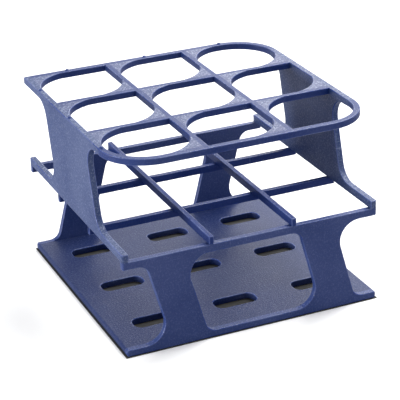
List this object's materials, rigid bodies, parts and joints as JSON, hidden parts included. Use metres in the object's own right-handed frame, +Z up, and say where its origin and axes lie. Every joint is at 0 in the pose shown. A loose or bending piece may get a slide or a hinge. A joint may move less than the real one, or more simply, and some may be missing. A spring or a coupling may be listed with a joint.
{
  "type": "test tube rack",
  "caption": "Square moulded plastic rack that stands large test tubes upright in a grid of part-round openings, on a slotted base between open windowed walls.",
  "frame": {"origin": "middle of the flat underside of the base", "axes": "+X along the front edge to the right, +Y from the front to the back, +Z up out of the tube places"},
  "size_m": [0.105, 0.105, 0.0777],
  "materials": {
    "moulding": "semi-matte, fine moulded grain, deep blue"
  },
  "bodies": {
    "root": {"base_plate": "moulding", "front_wall": "moulding", "back_wall": "moulding", "middle_cross_bar_front": "moulding", "middle_cross_bar_back": "moulding", "middle_bar_left": "moulding", "middle_bar_right": "moulding", "side_wall_left": "moulding", "side_wall_right": "moulding", "top_rim_front": "moulding", "top_rim_back": "moulding", "top_bar_left": "moulding", "top_bar_right": "moulding", "top_cross_bar_front": "moulding", "top_cross_bar_back": "moulding", "guide_webs_front_left": "moulding", "guide_webs_front_centre": "moulding", "guide_webs_front_right": "moulding", "guide_webs_middle_left": "moulding", "guide_webs_middle_centre": "moulding", "guide_webs_middle_right": "moulding", "guide_webs_back_left": "moulding", "guide_webs_back_centre": "moulding", "guide_webs_back_right": "moulding", "index_nubs": "moulding"}
  },
  "joints": []
}
